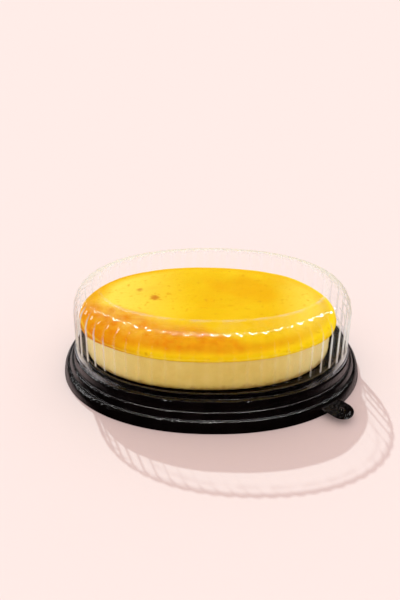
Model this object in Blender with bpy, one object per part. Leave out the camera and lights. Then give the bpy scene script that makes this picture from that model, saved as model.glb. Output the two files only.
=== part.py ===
"""Oval baked cheesecake in its shut retail pack.

Four separate pieces: a thin black tray with a pull tab, a thin clear fluted
dome, the pale body of the cake and the golden skin baked on top of it.
All four follow the same rounded oval outline, drawn inwards from the rim.
"""
import math

import bmesh
import bpy

MM = 0.001

# Plan outline: half length and half width of the tray's rim, and how full the oval is.
TRAY_A = 112.5 * MM
TRAY_B = 78.75 * MM
OVAL_POWER = 2.15

# Tray: formed sheet, with a pull tab at the front right.
TRAY_SHEET = 0.8 * MM
TRAY_SEGMENTS = 72
TAB_CENTRE = (88.9 * MM, -60.9 * MM)
TAB_RADIUS = 8.5 * MM
TAB_TOP = 6.0 * MM
TAB_THICKNESS = 1.2 * MM
NUB_RADIUS = 1.7 * MM
NUB_HEIGHT = 1.3 * MM

# Dome: formed clear sheet, fluted from the foot band to the top of the shoulder.
DOME_SHEET = 0.5 * MM
FLUTES = 58
FLUTE_DEPTH = 1.3 * MM

# Cake: half sizes of the pale body and the golden skin, and where they sit.
# The seam between the two is level and drops towards both ends of the cake.
CAKE_SEGMENTS = 72
CAKE_SHIFT_X = -3.3 * MM
BODY_FOOT = (91.0 * MM, 58.2 * MM)
BODY_TOP = (90.4 * MM, 58.0 * MM)
SKIN_BULGE = (93.8 * MM, 60.6 * MM)
CAKE_BASE_Z = 19.7 * MM
BODY_TOP_Z = 44.7 * MM
SEAM_DROP = 3.2 * MM
SKIN_TOP_Z = 53.2 * MM
LAYER_GAP = 0.3 * MM

# Tray section from the rim's lower edge to the middle: inset from the rim, height, in mm.
TRAY_SECTION = (
    (0.0, 0.0), (0.8, 4.4), (1.9, 6.9), (3.4, 8.1), (4.8, 7.8),
    (5.9, 11.4), (7.0, 12.8), (8.1, 12.0), (8.5, 13.4), (8.9, 18.6),
    (9.8, 19.5), (12.8, 19.5), (13.7, 22.6), (15.3, 22.9), (17.2, 19.4), (45.0, 19.4),
)

# Dome section from the lip to the middle: inset, height, both in mm, and flute strength.
DOME_SECTION = (
    (9.7, 19.8, 0.0), (9.8, 20.6, 0.0), (10.7, 21.2, 0.0), (10.8, 26.6, 0.0),
    (10.9, 28.6, 1.0), (11.9, 54.6, 1.0), (13.3, 60.4, 1.0), (16.2, 65.2, 0.9),
    (21.0, 68.6, 0.6), (26.6, 70.8, 0.0), (30.6, 71.5, 0.0), (32.6, 70.4, 0.0),
    (52.0, 70.2, 0.0),
)


def clear_scene():
    for item in list(bpy.data.objects):
        bpy.data.objects.remove(item, do_unlink=True)


def make_material(name, colour, roughness, transmission=0.0, alpha=1.0):
    material = bpy.data.materials.new(name)
    material.use_nodes = True
    shader = material.node_tree.nodes["Principled BSDF"]
    shader.inputs["Base Color"].default_value = (*colour, 1.0)
    shader.inputs["Roughness"].default_value = roughness
    shader.inputs["Transmission Weight"].default_value = transmission
    shader.inputs["Alpha"].default_value = alpha
    return material


def oval_point(angle, half_a, half_b):
    power = 2.0 / OVAL_POWER
    c, s = math.cos(angle), math.sin(angle)
    return (half_a * math.copysign(abs(c) ** power, c),
            half_b * math.copysign(abs(s) ** power, s))


def oval_angles(count, half_a, half_b, fine=9600):
    """Angles that cut the oval into equal lengths, starting at the middle of the front."""
    angles = [-0.5 * math.pi + 2.0 * math.pi * i / fine for i in range(fine + 1)]
    run = [0.0]
    last = oval_point(angles[0], half_a, half_b)
    for angle in angles[1:]:
        here = oval_point(angle, half_a, half_b)
        run.append(run[-1] + math.dist(here, last))
        last = here
    cuts, k = [], 0
    for i in range(count):
        goal = run[-1] * i / count
        while run[k + 1] < goal:
            k += 1
        share = (goal - run[k]) / (run[k + 1] - run[k])
        cuts.append(angles[k] + share * (angles[k + 1] - angles[k]))
    return cuts


def inner_section(section, thickness):
    """The section moved to the inside of the sheet by its thickness."""
    moved = []
    last = len(section) - 1
    for i, (inset, height) in enumerate(section):
        a = section[max(i - 1, 0)]
        b = section[min(i + 1, last)]
        normals = []
        for p, q in ((a, (inset, height)), ((inset, height), b)):
            length = math.dist(p, q)
            if length > 0.0:
                normals.append(((q[1] - p[1]) / length, -(q[0] - p[0]) / length))
        nx = sum(n[0] for n in normals) / len(normals)
        nz = sum(n[1] for n in normals) / len(normals)
        scale = thickness / (nx * nx + nz * nz)
        moved.append((inset + nx * scale, height + nz * scale))
    return moved


def add_loop(bm, points):
    return [bm.verts.new(point) for point in points]


def join_loops(bm, loops, split=False):
    for one, two in zip(loops, loops[1:]):
        for i in range(len(one)):
            j = (i + 1) % len(one)
            if split:
                bm.faces.new((one[i], one[j], two[j]))
                bm.faces.new((one[i], two[j], two[i]))
            else:
                bm.faces.new((one[i], one[j], two[j], two[i]))


def add_fan(bm, loop, centre):
    middle = bm.verts.new(centre)
    for i in range(len(loop)):
        bm.faces.new((loop[i], loop[(i + 1) % len(loop)], middle))


def finish(bm, name, material, sharp_degrees):
    bmesh.ops.recalc_face_normals(bm, faces=bm.faces)
    mesh = bpy.data.meshes.new(name)
    bm.to_mesh(mesh)
    bm.free()
    mesh.materials.append(material)
    item = bpy.data.objects.new(name, mesh)
    bpy.context.scene.collection.objects.link(item)
    mesh.shade_smooth()
    mesh.set_sharp_from_angle(angle=math.radians(sharp_degrees))
    return item


def sheet_loops(bm, section, angles, flute):
    """Loops of one face of a formed sheet, from its edge to its middle."""
    loops = []
    for inset, height, strength in section:
        points = []
        for i, angle in enumerate(angles):
            groove = flute * strength * (i % 2)
            x, y = oval_point(angle, TRAY_A - inset * MM - groove, TRAY_B - inset * MM - groove)
            points.append((x, y, height * MM))
        loops.append(add_loop(bm, points))
    return loops


def formed_sheet(name, section, thickness, angles, flute, material, sharp_degrees):
    """A closed thin solid: the outer face, the inner face and the edge between them."""
    inner = inner_section([(p[0], p[1]) for p in section], thickness / MM)
    inner = [(a, b, p[2]) for (a, b), p in zip(inner, section)]
    inner[0] = (inner[0][0], section[0][1], section[0][2])
    bm = bmesh.new()
    outer_loops = sheet_loops(bm, section, angles, flute)
    inner_loops = sheet_loops(bm, inner, angles, flute)
    join_loops(bm, outer_loops[::-1] + inner_loops)
    add_fan(bm, outer_loops[-1], (0.0, 0.0, section[-1][1] * MM))
    add_fan(bm, inner_loops[-1], (0.0, 0.0, inner[-1][1] * MM))
    return finish(bm, name, material, sharp_degrees)


def make_tab():
    """Round-ended plate reaching in under the rim, with a small round nub on top."""
    cx, cy = TAB_CENTRE
    out = math.atan2(cy * TRAY_A, cx * TRAY_B)
    ux, uy = math.cos(out), math.sin(out)
    reach = 12.0 * MM
    outline = []
    steps = 12
    for i in range(steps + 1):
        turn = -0.5 * math.pi + math.pi * i / steps
        along, across = TAB_RADIUS * math.cos(turn), TAB_RADIUS * math.sin(turn)
        outline.append((cx + along * ux - across * uy, cy + along * uy + across * ux))
    for across in (TAB_RADIUS, -TAB_RADIUS):
        outline.append((cx - reach * ux - across * uy, cy - reach * uy + across * ux))
    bm = bmesh.new()
    top = add_loop(bm, [(x, y, TAB_TOP) for x, y in outline])
    low = add_loop(bm, [(x, y, TAB_TOP - TAB_THICKNESS) for x, y in outline])
    join_loops(bm, [top, low])
    bm.faces.new(top)
    bm.faces.new(low[::-1])
    rings = []
    for radius, height in ((1.0, -0.5), (1.0, 0.45), (0.72, 0.85), (0.3, 1.0)):
        ring = []
        for i in range(12):
            turn = math.pi * i / 6.0
            ring.append((cx + radius * NUB_RADIUS * math.cos(turn),
                         cy + radius * NUB_RADIUS * math.sin(turn),
                         TAB_TOP + height * NUB_HEIGHT))
        rings.append(add_loop(bm, ring))
    join_loops(bm, rings)
    bm.faces.new(rings[0])
    bm.faces.new(rings[-1][::-1])
    return finish(bm, "tab_tool", bpy.data.materials["tray_black"], 40.0)


def join_solid(base, tool):
    step = base.modifiers.new("join", "BOOLEAN")
    step.operation = "UNION"
    step.solver = "EXACT"
    step.use_self = True
    step.object = tool
    graph = bpy.context.evaluated_depsgraph_get()
    mesh = bpy.data.meshes.new_from_object(base.evaluated_get(graph))
    base.modifiers.clear()
    base.data = mesh
    bpy.data.objects.remove(tool, do_unlink=True)


def unevenness(angle, phase):
    """A slow wave round the cake, between about -1 and 1."""
    return (0.5 * math.sin(2.0 * angle + phase) + 0.3 * math.sin(3.0 * angle + 1.7 * phase)
            + 0.2 * math.sin(7.0 * angle + 0.6 * phase))


def seam_height(x):
    """Height of the top of the body at this distance along the cake."""
    share = (abs(x) / SKIN_BULGE[0] - 0.70) / 0.28
    share = min(1.0, max(0.0, share))
    return BODY_TOP_Z - SEAM_DROP * share * share * (3.0 - 2.0 * share)


def cake_loops(bm, rows, angles, low, high):
    """Loops from (half sizes, share of the rise from low to high, wave depth, lift, phase) rows."""
    loops = []
    for half_a, half_b, share, wave, lift, phase in rows:
        points = []
        for angle in angles:
            swing = wave * unevenness(angle, phase)
            x, y = oval_point(angle, half_a + swing, half_b + swing)
            z = low(x) + share * (high(x) - low(x)) + lift * unevenness(angle, phase + 2.0)
            points.append((x + CAKE_SHIFT_X, y, z))
        loops.append(add_loop(bm, points))
    return loops


def cake_solid(name, rows, angles, low, high, material):
    """Solid through the rows; the split faces keep the gap at the seam even."""
    bm = bmesh.new()
    loops = cake_loops(bm, rows, angles, low, high)
    join_loops(bm, loops, split=True)
    for k, loop in ((0, loops[0]), (-1, loops[-1])):
        level = low(0.0) if rows[k][2] < 0.5 else high(0.0)
        add_fan(bm, loop, (CAKE_SHIFT_X, 0.0, level))
    return finish(bm, name, material, 50.0)


def make_body(angles, material):
    foot_a, foot_b = BODY_FOOT
    top_a, top_b = BODY_TOP
    rows = [(0.5 * foot_a, 0.5 * foot_b, 0.0, 0.0, 0.0, 0.0),
            (foot_a - 2.4 * MM, foot_b - 2.4 * MM, 0.0, 0.0, 0.0, 0.0),
            (foot_a - 0.5 * MM, foot_b - 0.5 * MM, 0.03, 0.1 * MM, 0.0, 0.4)]
    for share in (0.12, 0.4, 0.7, 0.93):
        rows.append((foot_a + share * (top_a - foot_a), foot_b + share * (top_b - foot_b),
                     share, 0.35 * MM, 0.0, 0.4 + share))
    rows.append((top_a - 0.6 * MM, top_b - 0.6 * MM, 1.0, 0.35 * MM, 0.0, 1.4))
    for part in (0.85, 0.7, 0.5):
        rows.append((part * top_a, part * top_b, 1.0, 0.0, 0.0, 0.0))
    cake_solid("cake_body", rows, angles, lambda x: CAKE_BASE_Z, seam_height, material)


def make_skin(angles, material):
    a, b = SKIN_BULGE
    top_a, top_b = BODY_TOP
    rows = [(0.4 * a, 0.3 * b, 1.0, 0.0, 0.35 * MM, 3.0),
            (a - 22.0 * MM, b - 22.0 * MM, 1.01, 0.6 * MM, 0.3 * MM, 2.4)]
    for inset, share in ((13.0, 0.97), (8.6, 0.89), (4.6, 0.74), (1.9, 0.60),
                         (0.5, 0.47), (0.0, 0.30), (0.3, 0.14), (1.3, 0.03)):
        rows.append((a - inset * MM, b - inset * MM, share, 0.5 * MM,
                     0.25 * MM * min(1.0, 2.0 * share), 2.0))
    rows.append((a - 2.8 * MM, b - 1.9 * MM, 0.0, 0.3 * MM, 0.0, 1.4))
    for part in (0.85, 0.7, 0.5):
        rows.append((part * top_a, part * top_b, 0.0, 0.0, 0.0, 0.0))
    cake_solid("cake_top", rows, angles, lambda x: seam_height(x) + LAYER_GAP,
               lambda x: SKIN_TOP_Z, material)


def main():
    clear_scene()
    black = make_material("tray_black", (0.012, 0.011, 0.012), 0.16)
    clear = make_material("dome_clear", (0.96, 0.97, 0.97), 0.06, transmission=0.9, alpha=0.3)
    pale = make_material("cake_pale", (0.72, 0.52, 0.22), 0.6)
    golden = make_material("cake_golden", (0.86, 0.44, 0.03), 0.35)

    tray_angles = oval_angles(TRAY_SEGMENTS, TRAY_A, TRAY_B)
    tray_section = [(inset, height, 0.0) for inset, height in TRAY_SECTION]
    tray = formed_sheet("tray", tray_section, TRAY_SHEET, tray_angles, 0.0, black, 35.0)
    join_solid(tray, make_tab())
    tray.data.shade_smooth()
    tray.data.set_sharp_from_angle(angle=math.radians(35.0))

    inset = 12.0 * MM
    dome_angles = oval_angles(2 * FLUTES, TRAY_A - inset, TRAY_B - inset)
    formed_sheet("dome", DOME_SECTION, DOME_SHEET, dome_angles, FLUTE_DEPTH, clear, 60.0)

    cake_angles = oval_angles(CAKE_SEGMENTS, *SKIN_BULGE)
    make_body(cake_angles, pale)
    make_skin(cake_angles, golden)


main()
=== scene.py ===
"""Looks of the oval cheesecake in its shut pack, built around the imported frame.

Every piece repeats the section of the solid it stands for, drawn much finer:
the tray with its tab, the fluted dome, the pale body and the golden skin.
"""

import math

import bmesh
import bpy
import numpy as np
from mathutils import Matrix, Vector, noise

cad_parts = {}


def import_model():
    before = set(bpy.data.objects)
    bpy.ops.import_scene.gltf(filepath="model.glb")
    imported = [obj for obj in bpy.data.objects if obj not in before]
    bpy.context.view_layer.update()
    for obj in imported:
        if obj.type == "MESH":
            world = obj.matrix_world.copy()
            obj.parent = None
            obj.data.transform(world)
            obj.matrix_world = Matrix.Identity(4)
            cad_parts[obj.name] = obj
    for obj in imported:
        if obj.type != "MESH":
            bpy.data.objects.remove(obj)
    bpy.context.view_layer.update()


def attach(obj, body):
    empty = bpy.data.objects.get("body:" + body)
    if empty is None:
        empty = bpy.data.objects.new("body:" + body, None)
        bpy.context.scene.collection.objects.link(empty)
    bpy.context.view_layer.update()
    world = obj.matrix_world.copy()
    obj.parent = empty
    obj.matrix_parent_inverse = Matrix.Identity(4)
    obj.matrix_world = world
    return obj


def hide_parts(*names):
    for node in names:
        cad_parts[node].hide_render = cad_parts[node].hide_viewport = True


MM = 0.001

# Plan outline, as in the solids: half length and half width (mm), and how full the oval is.
TRAY_A = 112.5
TRAY_B = 78.75
OVAL_POWER = 2.15

# Tray (mm): the sheet, how uneven it is, the pull tab and the nub on the tab.
TRAY_SHEET = 0.8
TRAY_SEGMENTS = 288
TRAY_SWAY = 0.16
TAB_CENTRE = (88.9, -60.9)
TAB_RADIUS = 8.5
TAB_TOP = 6.0
TAB_THICKNESS = 1.2
TAB_REACH = 12.0
TAB_STEPS = 40
NUB_RADIUS = 1.7
NUB_HEIGHT = 1.3
NUB_STEPS = 32

# Dome (mm): the sheet, the insets of its wall and lip, its flutes and how their lobes end.
DOME_SHEET = 0.5
DOME_INSET = 12.0
LIP_INSET = 10.0
FLUTES = 58
FLUTE_STEPS = 10
FLUTE_DEPTH = 1.3
LOBE_END = 20.2
LOBE_ARCH = 1.5
LOBE_RUN = 2.6
LOBE_STEP = 0.4
LOBE_FADE_END = 26.6

# Bands of the dome's haze, its painted reflections and painted highlight, and its held-back gloss
# (mm): heights, insets or distances along the oval where they fade.
FOOT_HEIGHTS = (22.0, 26.0)
LIP_HEIGHTS = (21.5, 24.0)
LIP_DISTANCES = (60.0, 86.0)
CREASE_INSETS = (26.0, 30.0)
WALL_INSETS = (26.0, 31.0)
SHOULDER_START = (15.0, 24.0)
SHOULDER_END = (29.0, 33.0)
RING_INSET = 30.8
RING_WIDTH = 1.3

# Cake (mm): half sizes of the pale body and the golden skin, and where they sit.
CAKE_SEGMENTS = 384
CAKE_SHIFT_X = -3.3
BODY_FOOT = (91.0, 58.2)
BODY_TOP = (90.4, 58.0)
SKIN_BULGE = (93.8, 60.6)
CAKE_BASE_Z = 19.7
BODY_TOP_Z = 44.7
SEAM_DROP = 3.2
SKIN_TOP_Z = 53.2
LAYER_GAP = 0.3

# Look of the body (mm): how high the folds reach, the browned foot, and the paler ends.
FOLD_HEIGHT = 7.0
BROWN_FOOT = (0.8, 5.0)
PALE_DISTANCES = (35.0, 82.0)

# Look of the skin (mm, degrees): the amber patch, the browned side and its lower edge,
# and the heights between which the bright lip fades.
AMBER_CENTRE = (25.0, 21.0)
AMBER_RADII = (32.0, 23.0)
BROWN_SIDE = 125.0
BROWN_HEIGHTS = (48.5, 51.5)
BRIGHT_HEIGHTS = (49.0, 52.5)

# Baked marks on the skin: place (mm), size (mm), strength.
SPOTS = ((-42.3, 7.9, 3.3, 0.85), (-54.4, 18.3, 2.2, 0.65), (-4.5, 4.1, 1.5, 0.35),
         (35.2, 3.2, 1.4, 0.3), (-24.1, 17.9, 1.4, 0.3))
SPOT_LEVEL = BODY_TOP_Z + 5.0

# Painted highlight, a pale line along the skin's bulge: heights (m) where it starts, is strongest
# and ends.
HIGHLIGHT_LINE_HEIGHTS = (0.0484, 0.0493, 0.0504)

# The sections follow the solids; the tray's rim and the dome's ring are a little finer here.
# Inset, height and how round the corner is (share of the shorter edge beside it).
TRAY_SECTION = (
    (0.0, 0.0, 0.0), (0.8, 4.4, 0.5), (1.9, 6.9, 0.5), (3.4, 8.1, 0.5), (4.8, 7.8, 0.4),
    (5.9, 11.4, 0.4), (6.5, 12.3, 0.5), (7.3, 12.8, 0.5), (8.1, 12.0, 0.4),
    (8.5, 13.4, 0.3), (8.9, 18.6, 0.1),
    (9.8, 19.5, 0.05), (12.8, 19.5, 0.3), (13.7, 22.6, 0.3), (15.3, 22.9, 0.45),
    (17.2, 19.4, 0.3), (45.0, 19.4, 0.2),
)

# Inset, height, corner roundness and flute strength.
DOME_SECTION = (
    (9.7, 19.8, 0.0, 0.0), (9.8, 20.6, 0.4, 0.0), (10.7, 21.2, 0.4, 0.0),
    (10.8, 26.6, 0.3, 0.0), (10.9, 28.6, 0.4, 1.0), (11.9, 54.6, 0.2, 1.0),
    (13.3, 60.4, 0.5, 1.0), (16.2, 65.2, 0.5, 0.9), (21.0, 68.6, 0.5, 0.6),
    (26.6, 70.8, 0.5, 0.0), (30.6, 71.6, 0.5, 0.0), (32.6, 70.4, 0.4, 0.0),
    (52.0, 70.2, 0.2, 0.0),
)

# Stage (m): the floor, the lamps and the point that they face. The ends are those of the
# narrow lamp at the right; the one at the left is its mirror image.
FLOOR_HALF = 4.0
FLOOR_Z = -0.0002
SUN_PLACE = (-0.40, 1.05, 1.0)
LAMP_AIM = (0.0, 0.0, 0.04)
LOW_LAMP = (-1.2, 0.0, 0.50)
HIGH_LAMP = (-0.36, 1.05, 1.20)
FRONT_STRIP = (0.0, -0.25, 1.47)
STRIP_ENDS = ((0.37, -0.21, 1.45), (1.09, 0.61, 0.76))

# Camera, fitted to the photo: place (m), direction of view and direction to the right.
CAMERA_PLACE = (-0.00898249, -0.36754025, 0.292725)
CAMERA_LOOK = (1.4676e-4, 0.84085011, -0.54126802)
CAMERA_RIGHT = (0.99998677, 0.00265953, 0.00440266)


# Outlines and meshes

def step01(value, low, high):
    """A smooth rise from 0 at low to 1 at high."""
    t = min(1.0, max(0.0, (value - low) / (high - low)))
    return t * t * (3.0 - 2.0 * t)


def add_object(name, data):
    item = bpy.data.objects.new(name, data)
    bpy.context.scene.collection.objects.link(item)
    return item


def set_values(item, name, values):
    """A point attribute that the material reads by its name."""
    item.data.attributes.new(name, "FLOAT", "POINT").data.foreach_set("value", values)


def oval_xy(angles, half_a, half_b):
    power = 2.0 / OVAL_POWER
    c, s = np.cos(angles), np.sin(angles)
    return (half_a * np.sign(c) * np.abs(c) ** power,
            half_b * np.sign(s) * np.abs(s) ** power)


def even_angles(count, half_a, half_b):
    """Angles that cut the oval into equal lengths, starting at the middle of the front."""
    fine = np.linspace(-0.5 * math.pi, 1.5 * math.pi, 9601)
    x, y = oval_xy(fine, half_a, half_b)
    run = np.concatenate(([0.0], np.cumsum(np.hypot(np.diff(x), np.diff(y)))))
    return np.interp(run[-1] * np.arange(count) / count, run, fine)


def rounded(section, steps=4, shortest=0.02):
    """The section with each corner replaced by a short curve; extra columns follow along."""
    points = [np.array(p, float) for p in section]
    line = [np.delete(points[0], 2)]
    for before, here, after in zip(points, points[1:], points[2:]):
        shorter = min(np.hypot(*(here - before)[:2]), np.hypot(*(after - here)[:2]))
        cut = here[2] * shorter
        start = here + (before - here) * cut / np.hypot(*(here - before)[:2])
        end = here + (after - here) * cut / np.hypot(*(after - here)[:2])
        for i in range(steps + 1):
            t = i / steps
            line.append(np.delete((1 - t) ** 2 * start + 2 * t * (1 - t) * here + t * t * end, 2))
    line.append(np.delete(points[-1], 2))
    kept = [line[0]]
    for point in line[1:]:
        if np.hypot(*(point - kept[-1])[:2]) > shortest:
            kept.append(point)
    return np.array(kept)


def subdivided(section, longest):
    """The section with extra points so that no step is longer than this many mm."""
    rows = [section[0]]
    for one, two in zip(section, section[1:]):
        parts = max(1, math.ceil(np.hypot(*(two - one)[:2]) / longest))
        for i in range(1, parts + 1):
            rows.append(one + (two - one) * i / parts)
    return np.array(rows)


def inner_section(section, thickness):
    """The section moved to the inside of the sheet by its thickness."""
    step = np.diff(section[:, :2], axis=0)
    step /= np.linalg.norm(step, axis=1)[:, None]
    normal = np.column_stack((step[:, 1], -step[:, 0]))
    mean = np.vstack((normal[:1], 0.5 * (normal[:-1] + normal[1:]), normal[-1:]))
    moved = section.copy()
    moved[:, :2] += mean * (thickness / (mean ** 2).sum(1))[:, None]
    moved[0, 1] = section[0, 1]
    return moved


def grid_mesh(name, rows, first_centre, last_centre):
    """Mesh through equal loops of points (mm), closed at both ends by a fan to a point."""
    count = len(rows[0])
    coords = [tuple(p) for row in rows for p in row]
    faces = []
    for r in range(len(rows) - 1):
        for i in range(count):
            j = (i + 1) % count
            faces.append((r * count + i, r * count + j, (r + 1) * count + j, (r + 1) * count + i))
    low, high = len(coords), len(coords) + 1
    coords += [first_centre, last_centre]
    top = (len(rows) - 1) * count
    for i in range(count):
        j = (i + 1) % count
        faces.append((j, i, low))
        faces.append((top + i, top + j, high))
    mesh = bpy.data.meshes.new(name)
    mesh.from_pydata([(x * MM, y * MM, z * MM) for x, y, z in coords], [], faces)
    return add_object(name, mesh)


def settle(item, sharp_degrees):
    """Outward normals and smooth shading up to a given angle."""
    bm = bmesh.new()
    bm.from_mesh(item.data)
    bmesh.ops.recalc_face_normals(bm, faces=bm.faces)
    bm.to_mesh(item.data)
    bm.free()
    item.data.shade_smooth()
    item.data.set_sharp_from_angle(angle=math.radians(sharp_degrees))
    return item


def wave(x, y, z, size, seed):
    """Smooth noise between about -1 and 1 with features of this many mm."""
    return noise.noise(Vector((x / size + 7.3 * seed, y / size - 3.1 * seed, z / size + seed)))


def ring_rows(section, angles, depth, sway, seed):
    """Loops of a formed sheet; sway is how uneven the sheet is above its foot, in mm."""
    rows = []
    for inset, height, strength in section:
        cut = inset + depth(inset, strength)
        x, y = oval_xy(angles, TRAY_A - cut, TRAY_B - cut)
        z = np.full_like(x, height)
        if sway and 0.0 < height:
            lift = np.array([wave(px, py, height, 9.0, seed) for px, py in zip(x, y)])
            drift = np.array([wave(px, py, height, 14.0, seed + 1) for px, py in zip(x, y)])
            radius = np.hypot(x, y)
            x = x + sway * drift * x / radius
            y = y + sway * drift * y / radius
            z = z + sway * lift
        rows.append(np.column_stack((x, y, z)))
    return rows


def formed_sheet(name, section, thickness, angles, depth, sway, seed):
    """A closed thin shell with both faces of the sheet and its edge."""
    outer = ring_rows(section, angles, depth, sway, seed)
    inner = ring_rows(inner_section(section, thickness), angles, depth, sway, seed)
    inner[0][:, 2] = outer[0][:, 2]
    top = outer[-1][:, 2].mean()
    return grid_mesh(name, outer[::-1] + inner, (0.0, 0.0, top),
                     (0.0, 0.0, inner[-1][:, 2].mean()))


# Tray

def tab_tool():
    """Round-ended plate with soft edges and a small nub, reaching in under the rim."""
    cx, cy = TAB_CENTRE
    out = math.atan2(cy * TRAY_A, cx * TRAY_B)
    ux, uy = math.cos(out), math.sin(out)
    loops = []
    low = TAB_TOP - TAB_THICKNESS
    for shrink, height in ((0.5, low), (0.12, low + 0.14), (0.0, low + 0.5),
                           (0.0, TAB_TOP - 0.5), (0.12, TAB_TOP - 0.14), (0.5, TAB_TOP)):
        radius = TAB_RADIUS - shrink
        loop = []
        for i in range(TAB_STEPS + 1):
            turn = math.pi * (i / TAB_STEPS - 0.5)
            along, across = radius * math.cos(turn), radius * math.sin(turn)
            loop.append((cx + along * ux - across * uy, cy + along * uy + across * ux, height))
        for across in (radius, -radius):
            loop.append((cx - TAB_REACH * ux - across * uy, cy - TAB_REACH * uy + across * ux,
                         height))
        loops.append(loop)
    plate = grid_mesh("tab_plate", loops, (cx, cy, low), (cx, cy, TAB_TOP))
    rings = []
    turns = np.arange(NUB_STEPS) * 2.0 * math.pi / NUB_STEPS
    for radius, height in ((1.0, -0.5), (1.0, 0.2), (0.94, 0.5), (0.78, 0.78),
                           (0.5, 0.94), (0.2, 1.0)):
        rings.append(np.column_stack((cx + radius * NUB_RADIUS * np.cos(turns),
                                      cy + radius * NUB_RADIUS * np.sin(turns),
                                      np.full(NUB_STEPS, TAB_TOP + height * NUB_HEIGHT))))
    nub = grid_mesh("tab_nub", rings, (cx, cy, TAB_TOP - 0.5 * NUB_HEIGHT),
                    (cx, cy, TAB_TOP + NUB_HEIGHT))
    return [settle(plate, 40.0), settle(nub, 40.0)]


def joined(base, tools):
    """The union of the base and the tools as one solid."""
    for tool in tools:
        step = base.modifiers.new("join", "BOOLEAN")
        step.operation = "UNION"
        step.solver = "EXACT"
        step.object = tool
        graph = bpy.context.evaluated_depsgraph_get()
        mesh = bpy.data.meshes.new_from_object(base.evaluated_get(graph))
        base.modifiers.clear()
        base.data = mesh
        bpy.data.objects.remove(tool, do_unlink=True)
    return base


def no_flutes(inset, strength):
    return 0.0


def make_tray():
    angles = even_angles(TRAY_SEGMENTS, TRAY_A, TRAY_B)
    section = subdivided(rounded(TRAY_SECTION), 4.0)
    section = np.column_stack((section, np.zeros(len(section))))
    tray = formed_sheet("tray_look", section, TRAY_SHEET, angles, no_flutes, TRAY_SWAY, 3)
    settle(tray, 50.0)
    return settle(joined(tray, tab_tool()), 40.0)


# Dome

def strength_low(strength):
    """Full strength up to the arch, whatever the fade above it."""
    return min(1.0, 1.25 * strength)


def lobe_depth(place):
    """How deep the sheet lies at each place across the lobes; each lobe ends in an arch."""
    valley = (2.0 * place - 1.0) ** 2

    def depth(inset, strength):
        past = np.clip((inset - LOBE_END + LOBE_ARCH * valley) / LOBE_RUN + 0.5, 0.0, 1.0)
        past = past * past * (3.0 - 2.0 * past)
        calm = LOBE_STEP * (1.0 - step01(inset, LOBE_END + LOBE_ARCH, LOBE_FADE_END))
        return FLUTE_DEPTH * strength_low(strength) * valley * (1.0 - past) + calm * past

    return depth


def make_dome():
    """Lobes bow outwards between narrow valleys; their upper ends stand on the shoulder."""
    angles = even_angles(FLUTES * FLUTE_STEPS, TRAY_A - DOME_INSET, TRAY_B - DOME_INSET)
    place = (np.arange(len(angles)) / FLUTE_STEPS + 0.5) % 1.0
    section = subdivided(rounded(DOME_SECTION, 5), 3.0)
    dome = formed_sheet("dome_look", section, DOME_SHEET, angles, lobe_depth(place), 0.0, 5)
    valley = (2.0 * place - 1.0) ** 2
    along = oval_xy(angles, TRAY_A - LIP_INSET, TRAY_B - LIP_INSET)[0]
    ends = np.array([step01(abs(x), *LIP_DISTANCES) for x in along])
    bands = {"fold": [], "crown": [], "crease": [], "wall": []}
    for rows in (section[::-1], section):
        for inset, height, strength in rows:
            foot = 1.0 - step01(height, *FOOT_HEIGHTS)
            ring = math.exp(-((inset - RING_INSET) / RING_WIDTH) ** 2)
            shoulder = step01(inset, *SHOULDER_START) * (1.0 - step01(inset, *SHOULDER_END))
            lip = 1.2 * (1.0 - step01(height, *LIP_HEIGHTS))
            crease = valley ** 2 * (1.0 - step01(inset, *CREASE_INSETS))
            # The fold band places haze and painted streaks of light in the valleys; the crown band
            # is painted reflection over the shoulder and at the lip's ends, and a painted
            # highlight along the ring.
            bands["fold"].append(valley * strength)
            bands["crown"].append(0.09 * shoulder + 0.75 * ring + lip * ends)
            bands["crease"].append(np.maximum(crease, foot))
            bands["wall"].append(np.full(len(angles), 1.0 - step01(inset, *WALL_INSETS)))
    middle_points = np.zeros(2)
    for name, rows in bands.items():
        set_values(dome, name, np.concatenate(rows + [middle_points]))
    return settle(dome, 60.0)


# Cake

def unevenness(angle, phase):
    """A slow wave round the cake, between about -1 and 1."""
    return (0.5 * np.sin(2.0 * angle + phase) + 0.3 * np.sin(3.0 * angle + 1.7 * phase)
            + 0.2 * np.sin(7.0 * angle + 0.6 * phase))


def seam_height(x):
    """Height of the top of the body at this distance along the cake."""
    share = np.clip((np.abs(x) / SKIN_BULGE[0] - 0.70) / 0.28, 0.0, 1.0)
    return BODY_TOP_Z - SEAM_DROP * share * share * (3.0 - 2.0 * share)


def cake_rows(rings, angles, low, high):
    """Loops from (half sizes, share of the rise from low to high, wave depth, lift, phase)."""
    rows = []
    for half_a, half_b, share, swing, lift, phase in rings:
        change = swing * unevenness(angles, phase)
        x, y = oval_xy(angles, half_a + change, half_b + change)
        z = low(x) + share * (high(x) - low(x)) + lift * unevenness(angles, phase + 2.0)
        rows.append(np.column_stack((x + CAKE_SHIFT_X, y, z)))
    return rows


def resampled(rings, longest, rise):
    """More rings between the given ones, on a smooth curve through them."""
    rings = np.array(rings, float)
    out = [rings[0]]
    for k in range(len(rings) - 1):
        p0, p1 = rings[max(k - 1, 0)], rings[k]
        p2, p3 = rings[k + 1], rings[min(k + 2, len(rings) - 1)]
        parts = max(1, math.ceil(math.hypot(p2[1] - p1[1], rise * (p2[2] - p1[2])) / longest))
        for i in range(1, parts + 1):
            t = i / parts
            out.append(0.5 * (2 * p1 + (p2 - p0) * t + (2 * p0 - 5 * p1 + 4 * p2 - p3) * t * t
                              + (3 * p1 - p0 - 3 * p2 + p3) * t ** 3))
    return out


def roughen(item, relief):
    """Moves each point along its normal by relief(x, y, z, nz), all in mm."""
    mesh = item.data
    mesh.update()
    normals = [v.normal.copy() for v in mesh.vertices]
    for vertex, normal in zip(mesh.vertices, normals):
        x, y, z = (c / MM for c in vertex.co)
        vertex.co += normal * (relief(x, y, z, normal.z) * MM)
    mesh.update()


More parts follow.
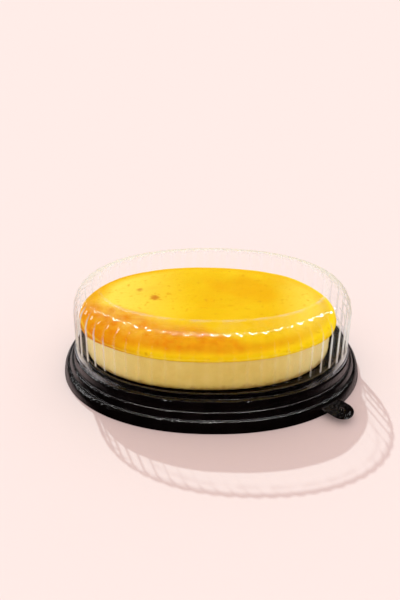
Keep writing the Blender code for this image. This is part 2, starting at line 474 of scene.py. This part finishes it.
def body_relief(x, y, z, nz):
    """Slow waves and fine crumb on the side, and level folds near the foot."""
    if abs(nz) > 0.8:
        return 0.0
    low = max(0.0, 1.0 - (z - CAKE_BASE_Z) / FOLD_HEIGHT)
    folds = wave(x, y, 2.5 * z, 3.2, 11) * 0.30 * low
    return 0.16 * wave(x, y, z, 6.0, 12) + 0.09 * wave(x, y, z, 1.7, 13) + folds


def skin_relief(x, y, z, nz):
    """Slow waves and small bumps, stronger on the bulge, with a few sunk pores."""
    if nz < -0.5:
        return 0.0
    pore = max(0.0, wave(x, y, z, 2.6, 23) - 0.42)
    edge = max(0.0, 1.0 - nz)
    return (0.22 * wave(x, y, z, 13.0, 21) + (0.07 + 0.12 * edge) * wave(x, y, 1.6 * z, 3.2, 22)
            - 0.5 * pore)


def flat_height(height):
    return lambda x: np.full_like(x, height)


def body_paleness(body):
    """How far each point lies towards the paler ends of the cake."""
    distances = [abs(v.co.x / MM - CAKE_SHIFT_X) for v in body.data.vertices]
    set_values(body, "pale", [step01(distance, *PALE_DISTANCES) for distance in distances])


def make_body():
    angles = even_angles(CAKE_SEGMENTS, *SKIN_BULGE)
    foot_a, foot_b = BODY_FOOT
    top_a, top_b = BODY_TOP
    rings = [(0.5 * foot_a, 0.5 * foot_b, 0.0, 0.0, 0.0, 0.0),
             (foot_a - 2.4, foot_b - 2.4, 0.0, 0.0, 0.0, 0.0),
             (foot_a - 0.5, foot_b - 0.5, 0.03, 0.1, 0.0, 0.4)]
    for share in np.linspace(0.08, 0.96, 30):
        rings.append((foot_a + share * (top_a - foot_a), foot_b + share * (top_b - foot_b),
                      share, 0.35, 0.0, 0.4 + share))
    rings.append((top_a - 0.6, top_b - 0.6, 1.0, 0.35, 0.0, 1.4))
    for part in np.linspace(0.93, 0.5, 8):
        rings.append((part * top_a, part * top_b, 1.0, 0.0, 0.0, 0.0))
    rows = cake_rows(rings, angles, flat_height(CAKE_BASE_Z), seam_height)
    body = grid_mesh("cake_body_look", rows, (CAKE_SHIFT_X, 0.0, CAKE_BASE_Z),
                     (CAKE_SHIFT_X, 0.0, BODY_TOP_Z))
    settle(body, 50.0)
    roughen(body, body_relief)
    body_paleness(body)
    return body


def make_skin():
    angles = even_angles(CAKE_SEGMENTS, *SKIN_BULGE)
    a, b = SKIN_BULGE
    top_a, top_b = BODY_TOP
    rings = [(0.1 * a, 0.08 * b, 1.0, 0.0, 0.2, 3.0),
             (0.4 * a, 0.3 * b, 1.0, 0.0, 0.35, 3.0),
             (a - 22.0, b - 22.0, 1.01, 0.6, 0.3, 2.4)]
    for inset, share in ((13.0, 0.97), (8.6, 0.89), (4.6, 0.74), (1.9, 0.60),
                         (0.5, 0.47), (0.0, 0.30), (0.3, 0.14), (1.3, 0.03)):
        rings.append((a - inset, b - inset, share, 0.5, 0.25 * min(1.0, 2.0 * share), 2.0))
    under = [(a - 2.8, b - 1.9, 0.0, 0.3, 0.0, 1.4)]
    for part in np.linspace(0.93, 0.5, 8):
        under.append((part * top_a, part * top_b, 0.0, 0.0, 0.0, 0.0))
    rise = SKIN_TOP_Z - BODY_TOP_Z - LAYER_GAP
    rows = cake_rows(resampled(rings, 0.9, rise) + under, angles,
                     lambda x: seam_height(x) + LAYER_GAP, flat_height(SKIN_TOP_Z))
    skin = grid_mesh("cake_top_look", rows, (CAKE_SHIFT_X, 0.0, SKIN_TOP_Z),
                     (CAKE_SHIFT_X, 0.0, BODY_TOP_Z + LAYER_GAP))
    settle(skin, 50.0)
    roughen(skin, skin_relief)
    return skin


# Materials

def new_material(name):
    material = bpy.data.materials.new(name)
    material.use_nodes = True
    tree = material.node_tree
    return material, tree, tree.nodes["Principled BSDF"]


def add_node(tree, kind, **values):
    """A node with plain properties set by name, and inputs set by their name as a key."""
    item = tree.nodes.new(kind)
    inputs = values.pop("inputs", {})
    for key, value in values.items():
        setattr(item, key, value)
    for key, value in inputs.items():
        if isinstance(value, bpy.types.NodeSocket):
            tree.links.new(value, item.inputs[key])
        else:
            item.inputs[key].default_value = value
    return item


def maths(tree, operation, one, two=0.0, three=0.0, clamp=False):
    return add_node(tree, "ShaderNodeMath", operation=operation, use_clamp=clamp,
                    inputs={0: one, 1: two, 2: three}).outputs[0]


def spread(tree, value, low, high, to_low=0.0, to_high=1.0):
    """A smooth change from to_low where the value is low to to_high where it is high."""
    return add_node(tree, "ShaderNodeMapRange", interpolation_type="SMOOTHSTEP",
                    inputs={"Value": value, "From Min": low, "From Max": high,
                            "To Min": to_low, "To Max": to_high}).outputs[0]


def blend_colour(tree, share, one, two):
    item = add_node(tree, "ShaderNodeMix", data_type="RGBA", inputs={0: share, 6: one, 7: two})
    return item.outputs[2]


def noise_value(tree, scale, detail=3.0, rough=0.55, vector=None):
    inputs = {"Scale": scale, "Detail": detail, "Roughness": rough}
    if vector is not None:
        inputs["Vector"] = vector
    return add_node(tree, "ShaderNodeTexNoise", inputs=inputs).outputs[0]


def object_place(tree):
    return add_node(tree, "ShaderNodeTexCoord").outputs["Object"]


def facing_value(tree):
    """0 where the surface faces the viewer, 1 where it is seen edge on."""
    return add_node(tree, "ShaderNodeLayerWeight", inputs={"Blend": 0.5}).outputs["Facing"]


def height_value(tree, place):
    return add_node(tree, "ShaderNodeSeparateXYZ", inputs={0: place}).outputs[2]


def add_bump(tree, shader, strength, distance, height):
    bump = add_node(tree, "ShaderNodeBump",
                    inputs={"Strength": strength, "Distance": distance, "Height": height})
    tree.links.new(bump.outputs[0], shader.inputs["Normal"])


def add_softness(shader, weight, scale):
    """Light that spreads a little below the surface."""
    shader.inputs["Subsurface Weight"].default_value = weight
    shader.inputs["Subsurface Scale"].default_value = scale


def attribute(tree, name):
    return add_node(tree, "ShaderNodeAttribute", attribute_name=name).outputs["Fac"]


def colour(r, g, b):
    return (r, g, b, 1.0)


def tray_material():
    """Black gloss with a fine unevenness; a painted sheen makes the colour paler where the sheet
    is seen edge on.
    """
    material, tree, shader = new_material("tray_black_look")
    place = object_place(tree)
    broad = noise_value(tree, 60.0, 2.0, 0.5, place)
    fine = noise_value(tree, 460.0, 2.0, 0.5, place)
    facing = facing_value(tree)
    shade = blend_colour(tree, spread(tree, broad, 0.3, 0.7), colour(0.0012, 0.0008, 0.0008),
                         colour(0.0032, 0.0022, 0.0022))
    # Painted sheen: the black turns grey where the sheet is seen edge on, in place of reflected
    # surroundings.
    shade = blend_colour(tree, spread(tree, facing, 0.38, 0.8), shade, colour(0.20, 0.175, 0.175))
    tree.links.new(shade, shader.inputs["Base Color"])
    tree.links.new(spread(tree, fine, 0.3, 0.7, 0.03, 0.09), shader.inputs["Roughness"])
    shader.inputs["IOR"].default_value = 1.43
    add_bump(tree, shader, 0.75, 0.0022, maths(tree, "MULTIPLY_ADD", fine, 0.45, broad))
    return material


def dome_material():
    """Clear sheet with a gloss that grows at grazing angles, and a white haze over it.

    The haze lies in the valleys, along the shoulder, ring and lip, and on the wall's edges. In the
    valleys it is partly haze at the bends and partly painted streaks of light; over the shoulder,
    at the lip's ends and on the wall's edges seen edge on it is painted reflection, and along the
    ring it is a painted highlight.
    The gloss is held back in the valleys, at the foot and on the panel.
    """
    material, tree, shader = new_material("dome_clear_look")
    place = object_place(tree)
    clouds = noise_value(tree, 90.0, 3.0, 0.6, place)
    facing = facing_value(tree)
    mirror = maths(tree, "MULTIPLY_ADD", maths(tree, "POWER", facing, 5.0), 0.15, 0.016)
    whole = spread(tree, attribute(tree, "crease"), 0.06, 0.3, 1.0, 0.1)
    calm = spread(tree, attribute(tree, "wall"), 0.0, 1.0, 0.12, 1.0)
    mirror = maths(tree, "MULTIPLY", mirror, maths(tree, "MULTIPLY", whole, calm))
    plain = colour(1.0, 1.0, 1.0)
    clear = add_node(tree, "ShaderNodeBsdfTransparent", inputs={"Color": plain})
    gloss = add_node(tree, "ShaderNodeBsdfGlossy", inputs={"Color": plain, "Roughness": 0.06})
    film = add_node(tree, "ShaderNodeMixShader", inputs={0: mirror, 1: clear.outputs[0],
                                                         2: gloss.outputs[0]})
    bluish = colour(0.86, 0.90, 0.97)
    shader.inputs["Base Color"].default_value = bluish
    shader.inputs["Roughness"].default_value = 0.4
    glow = add_node(tree, "ShaderNodeBsdfTranslucent", inputs={"Color": bluish})
    white = add_node(tree, "ShaderNodeMixShader", inputs={0: 0.5, 1: shader.outputs[0],
                                                          2: glow.outputs[0]})
    valley = maths(tree, "POWER", attribute(tree, "fold"), 2.0)
    # Valleys: partly haze at the bends, partly painted streaks of light.
    fold = maths(tree, "MULTIPLY", valley, spread(tree, facing, 0.12, 0.55, 0.0, 0.11))
    # Crown: painted reflection over the shoulder and at the lip's ends, and a painted highlight
    # along the ring.
    crown = maths(tree, "MULTIPLY", attribute(tree, "crown"),
                  spread(tree, clouds, 0.35, 0.65, 0.03, 0.26))
    smooth = maths(tree, "MULTIPLY_ADD", valley, -0.45, 1.0)
    # Painted reflection of the pale surroundings on the wall where it is seen edge on.
    edge = maths(tree, "MULTIPLY", maths(tree, "MULTIPLY", attribute(tree, "wall"), smooth),
                 spread(tree, facing, 0.54, 0.86, 0.0, 1.0))
    haze_and_painted_shine = maths(tree, "ADD", maths(tree, "ADD", fold, crown), edge, clamp=True)
    both = add_node(tree, "ShaderNodeMixShader", inputs={0: haze_and_painted_shine, 1: film.outputs[0],
                                                         2: white.outputs[0]})
    tree.links.new(both.outputs[0], tree.nodes["Material Output"].inputs["Surface"])
    return material


def body_material():
    """Pale baked crumb, lighter towards both ends and browned in a thin band at the foot."""
    material, tree, shader = new_material("cake_pale_look")
    place = object_place(tree)
    height = height_value(tree, place)
    crumb = noise_value(tree, 900.0, 4.0, 0.65, place)
    patches = noise_value(tree, 70.0, 3.0, 0.55, place)
    base = blend_colour(tree, spread(tree, patches, 0.3, 0.7), colour(0.79, 0.60, 0.130),
                        colour(0.84, 0.66, 0.17))
    base = blend_colour(tree, attribute(tree, "pale"), base, colour(0.93, 0.80, 0.33))
    base = blend_colour(tree, spread(tree, crumb, 0.55, 0.75, 0.0, 0.35), base,
                        colour(0.78, 0.54, 0.11))
    toast = noise_value(tree, 190.0, 3.0, 0.6, place)
    wobble = maths(tree, "MULTIPLY", maths(tree, "SUBTRACT", toast, 0.5), 0.010)
    level = maths(tree, "ADD", height, wobble)
    foot_start, foot_end = ((CAKE_BASE_Z + rise) * MM for rise in BROWN_FOOT)
    foot = spread(tree, level, foot_start, foot_end, 1.0, 0.0)
    base = blend_colour(tree, maths(tree, "MULTIPLY", foot, 0.75), base, colour(0.56, 0.31, 0.045))
    tree.links.new(base, shader.inputs["Base Color"])
    shader.inputs["Roughness"].default_value = 0.62
    add_softness(shader, 0.12, 0.003)
    add_bump(tree, shader, 0.5, 0.0005, crumb)
    return material


def skin_material():
    """Golden baked skin: yellow in the middle, browned to the front left, paler at both ends."""
    material, tree, shader = new_material("cake_golden_look")
    place = object_place(tree)
    fine = noise_value(tree, 520.0, 4.0, 0.6, place)
    mottle = noise_value(tree, 110.0, 4.0, 0.6, place)
    clouds = noise_value(tree, 28.0, 3.0, 0.5, place)
    base = blend_colour(tree, spread(tree, clouds, 0.3, 0.7), colour(0.725, 0.44, 0.004),
                        colour(0.77, 0.505, 0.010))
    base = blend_colour(tree, spread(tree, mottle, 0.5, 0.7, 0.0, 0.3), base,
                        colour(0.74, 0.39, 0.003))
    base = blend_colour(tree, attribute(tree, "pale"), base, colour(0.86, 0.65, 0.080))
    base = blend_colour(tree, attribute(tree, "amber"), base, colour(0.72, 0.37, 0.003))
    rim = maths(tree, "MULTIPLY", attribute(tree, "rim"), spread(tree, mottle, 0.2, 0.7, 0.6, 1.0))
    base = blend_colour(tree, rim, base, colour(0.72, 0.345, 0.001))
    brown = maths(tree, "MULTIPLY", attribute(tree, "brown"),
                  spread(tree, mottle, 0.25, 0.7, 0.6, 1.0))
    base = blend_colour(tree, brown, base, colour(0.66, 0.20, 0.0015))
    base = blend_colour(tree, attribute(tree, "lip"), base, colour(0.95, 0.71, 0.004))
    # Painted highlight: a pale line along the bulge, just above the lip.
    height = height_value(tree, place)
    level = maths(tree, "MULTIPLY_ADD", clouds, 0.003, height)
    line_start, line_middle, line_end = HIGHLIGHT_LINE_HEIGHTS
    above = spread(tree, level, line_start, line_middle)
    below = spread(tree, level, line_middle, line_end, 1.0, 0.0)
    line = maths(tree, "MULTIPLY", maths(tree, "MULTIPLY", above, below), 0.45)
    base = blend_colour(tree, line, base, colour(0.95, 0.72, 0.05))
    fleck = noise_value(tree, 260.0, 2.0, 0.5, place)
    base = blend_colour(tree, spread(tree, fleck, 0.62, 0.72, 0.0, 0.5), base,
                        colour(0.62, 0.29, 0.003))
    base = blend_colour(tree, attribute(tree, "spot"), base, colour(0.52, 0.16, 0.010))
    base = blend_colour(tree, spread(tree, fine, 0.55, 0.72, 0.0, 0.35), base,
                        colour(0.72, 0.36, 0.003))
    tree.links.new(base, shader.inputs["Base Color"])
    tree.links.new(spread(tree, mottle, 0.3, 0.7, 0.45, 0.62), shader.inputs["Roughness"])
    shader.inputs["Specular IOR Level"].default_value = 0.02
    add_softness(shader, 0.08, 0.002)
    add_bump(tree, shader, 0.4, 0.0005, fine)
    return material


def floor_material():
    material, _, shader = new_material("floor_pale")
    shader.inputs["Base Color"].default_value = colour(0.76, 0.645, 0.625)
    shader.inputs["Roughness"].default_value = 0.9
    shader.inputs["Specular IOR Level"].default_value = 0.0
    return material


def colour_skin(skin):
    """Per-point shares of the baked tones, from where each point lies on the cake."""
    values = {name: [] for name in ("rim", "brown", "lip", "pale", "amber", "spot")}
    a, b = SKIN_BULGE
    amber_x, amber_y = AMBER_CENTRE
    amber_a, amber_b = AMBER_RADII
    for vertex in skin.data.vertices:
        x, y, z = (c / MM for c in vertex.co)
        px, py = x - CAKE_SHIFT_X, y
        out = (abs(px / a) ** OVAL_POWER + abs(py / b) ** OVAL_POWER) ** (1.0 / OVAL_POWER)
        turn = math.atan2(py / b, px / a)
        sway = 0.03 * wave(x, y, z, 18.0, 31)
        edge = step01(out + sway, 0.78, 0.95)
        side = math.cos(turn + math.radians(BROWN_SIDE))
        front_left = step01(side, 0.4, 0.92)
        blotch = 0.78 + 0.22 * step01(wave(x, y, 1.4 * z, 5.5, 34), -0.15, 0.25)
        right = step01(px / a, 0.45, 0.95)
        left = step01(-px / a, 0.35, 0.75)
        upper = step01(z, *BROWN_HEIGHTS)
        values["rim"].append(edge * (0.9 - 0.75 * right))
        values["lip"].append((0.66 + 0.25 * step01(px / a, 0.1, 0.6))
                             * (1.0 - step01(z, *BRIGHT_HEIGHTS)) * (1.0 - left))
        from_out = 0.82 - 0.40 * front_left
        inner = step01(out + 2.0 * sway, from_out, from_out + 0.22)
        share = max(0.0, 0.15 + 0.85 * step01(side, 0.1, 0.8))
        values["brown"].append(inner * share * blotch * max(upper, left))
        values["pale"].append(0.9 * step01(-px / a, 0.1, 0.8) * (1.0 - edge)
                              + 0.9 * right * (1.0 - 0.6 * edge))
        reach = (math.hypot((x - amber_x) / amber_a, (y - amber_y) / amber_b)
                 + 0.5 * wave(x, y, 0.0, 14.0, 32))
        values["amber"].append(0.85 * step01(1.3 - reach, 0.0, 1.0))
        mark = 0.0
        for sx, sy, size, strength in SPOTS:
            far = math.hypot(x - sx, 0.9 * (y - sy)) / size + 0.45 * wave(x, y, 0.0, 1.6, 33)
            mark = max(mark, strength * step01(1.25 - far, 0.0, 0.7))
        values["spot"].append(mark if z > SPOT_LEVEL else 0.0)
    for name, row in values.items():
        set_values(skin, name, row)


# Stage

def make_floor():
    mesh = bpy.data.meshes.new("floor")
    corners = [(x * FLOOR_HALF, y * FLOOR_HALF, FLOOR_Z)
               for x, y in ((-1, -1), (1, -1), (1, 1), (-1, 1))]
    mesh.from_pydata(corners, [], [(0, 1, 2, 3)])
    mesh.materials.append(floor_material())
    item = add_object("floor", mesh)
    item.visible_glossy = False


def aim(item, place, towards):
    item.location = place
    item.rotation_euler = (Vector(towards) - Vector(place)).to_track_quat("-Z", "Y").to_euler()


def add_light(name, kind, place, towards, energy, tint=(1.0, 1.0, 1.0), **values):
    light = bpy.data.lights.new(name, kind)
    light.energy = energy
    light.color = tint
    for key, value in values.items():
        setattr(light, key, value)
    item = add_object(name, light)
    aim(item, place, towards)
    return item


def make_lights():
    """Sun and pale surroundings light the piece; the lamps only make the highlights."""
    sun = add_light("sun", "SUN", SUN_PLACE, (0.0, 0.0, 0.0), 1.92, (0.78, 1.0, 1.0),
                    angle=math.radians(1.0))
    sun.visible_glossy = False
    lamps = [add_light("low", "AREA", LOW_LAMP, LAMP_AIM, 4.0, size=0.35),
             add_light("high", "AREA", HIGH_LAMP, LAMP_AIM, 2.4, size=0.36)]
    for name, side in (("strip_left", -1.0), ("strip_right", 1.0)):
        ends = [Vector((side * x, y, z)) for x, y, z in STRIP_ENDS]
        strip = add_light(name, "AREA", ends[0], LAMP_AIM, 5.5, shape="RECTANGLE",
                          size=(ends[1] - ends[0]).length, size_y=0.03)
        along = (ends[1] - ends[0]).normalized()
        middle = 0.5 * (ends[0] + ends[1])
        back = (middle - along * middle.dot(along)).normalized()
        turn = Matrix((along, back.cross(along), back)).transposed().to_4x4()
        strip.matrix_world = Matrix.Translation(middle) @ turn
        lamps.append(strip)
    lamps.append(add_light("strip_front", "AREA", FRONT_STRIP, LAMP_AIM, 17.0,
                           shape="RECTANGLE", size=0.8, size_y=0.035))
    for lamp in lamps:
        lamp.visible_diffuse = False
    world = bpy.data.worlds.new("studio")
    bpy.context.scene.world = world
    world.use_nodes = True
    back = world.node_tree.nodes["Background"]
    back.inputs["Color"].default_value = colour(1.04, 0.905, 0.885)
    back.inputs["Strength"].default_value = 1.0
    world.cycles_visibility.glossy = False


def make_camera():
    data = bpy.data.cameras.new("camera")
    data.sensor_fit = "VERTICAL"
    data.sensor_height = 36.0
    data.lens = 36.0
    data.clip_start = 0.01
    data.dof.use_dof = False
    item = add_object("camera", data)
    look = Vector(CAMERA_LOOK).normalized()
    right = Vector(CAMERA_RIGHT)
    right = (right - look * right.dot(look)).normalized()
    up = right.cross(look)
    turn = Matrix((right, up, -look)).transposed().to_4x4()
    item.matrix_world = Matrix.Translation(CAMERA_PLACE) @ turn
    bpy.context.scene.camera = item


def dress(item, material, node):
    """Gives the piece its look and puts it in the place of its solid."""
    item.data.materials.clear()
    item.data.materials.append(material)
    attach(item, "root")
    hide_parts(node)


def main():
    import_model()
    make_camera()
    make_lights()
    make_floor()
    skin = make_skin()
    colour_skin(skin)
    dress(make_tray(), tray_material(), "tray")
    dress(make_dome(), dome_material(), "dome")
    dress(make_body(), body_material(), "cake_body")
    dress(skin, skin_material(), "cake_top")

    scene = bpy.context.scene
    scene.view_settings.view_transform = "Standard"
    scene.cycles.transparent_max_bounces = 32


main()
